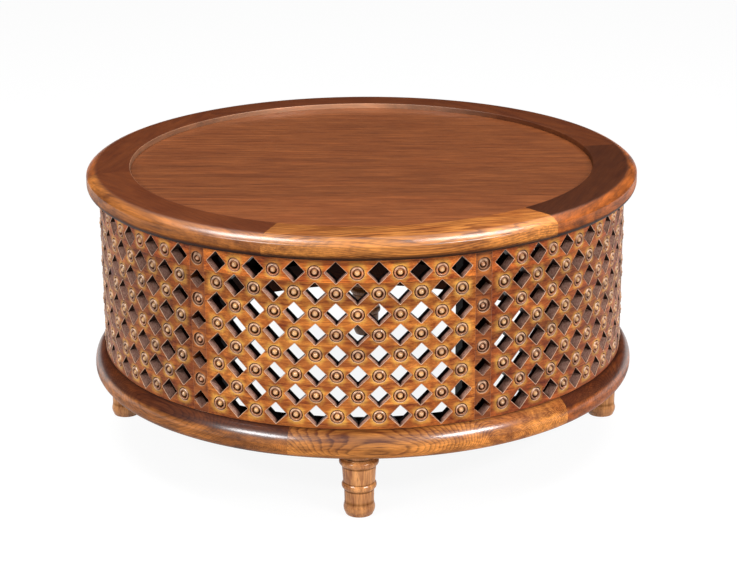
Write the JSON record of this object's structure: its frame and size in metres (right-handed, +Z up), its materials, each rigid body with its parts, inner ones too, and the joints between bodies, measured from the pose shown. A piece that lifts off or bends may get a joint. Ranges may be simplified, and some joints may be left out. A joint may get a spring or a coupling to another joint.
{
  "type": "drum coffee table",
  "caption": "Round drum coffee table: a sunk plank top in a rounded rim, on curved lattice panels carved with diamonds and roundels, a base ring and turned feet.",
  "frame": {"origin": "on the floor at the middle of the table", "axes": "+Z up, -Y towards the front that the picture shows, +X to its right"},
  "size_m": [0.9, 0.9, 0.45],
  "materials": {
    "rim": "semi-gloss lacquered hardwood, darker on the flat",
    "top": "glossy lacquered planks with fine straight grain",
    "wall": "satin carved hardwood, polished on the raised edges",
    "ring": "semi-gloss lacquered hardwood with cathedral grain",
    "foot": "semi-gloss turned hardwood",
    "frame_wood": "plain oiled hardwood, unseen from outside",
    "dowel_wood": "plain beech",
    "fixing_steel": "zinc plated"
  },
  "bodies": {
    "root": {"top_rim_segment_1": "rim", "top_rim_segment_2": "rim", "top_rim_segment_3": "rim", "top_rim_segment_4": "rim", "top_rim_segment_5": "rim", "top_rim_segment_6": "rim", "top_plank_1": "top", "top_plank_2": "top", "top_plank_3": "top", "top_plank_4": "top", "top_plank_5": "top", "top_plank_6": "top", "top_plank_7": "top", "top_plank_8": "top", "top_batten_left": "frame_wood", "top_batten_right": "frame_wood", "lattice_panel_1": "wall", "lattice_panel_2": "wall", "lattice_panel_3": "wall", "lattice_panel_4": "wall", "lattice_panel_5": "wall", "lattice_panel_6": "wall", "seam_post_1": "wall", "seam_post_2": "wall", "seam_post_3": "wall", "seam_post_4": "wall", "seam_post_5": "wall", "seam_post_6": "wall", "base_ring_segment_1": "ring", "base_ring_segment_2": "ring", "base_ring_segment_3": "ring", "base_ring_segment_4": "ring", "base_ring_segment_5": "ring", "base_ring_segment_6": "ring", "foot_1": "foot", "foot_2": "foot", "foot_3": "foot", "foot_4": "foot", "rim_joint_dowels": "dowel_wood", "ring_joint_dowels": "dowel_wood", "post_dowels": "dowel_wood", "panel_screws": "fixing_steel", "batten_screws": "fixing_steel", "foot_bolts": "fixing_steel"}
  },
  "joints": []
}
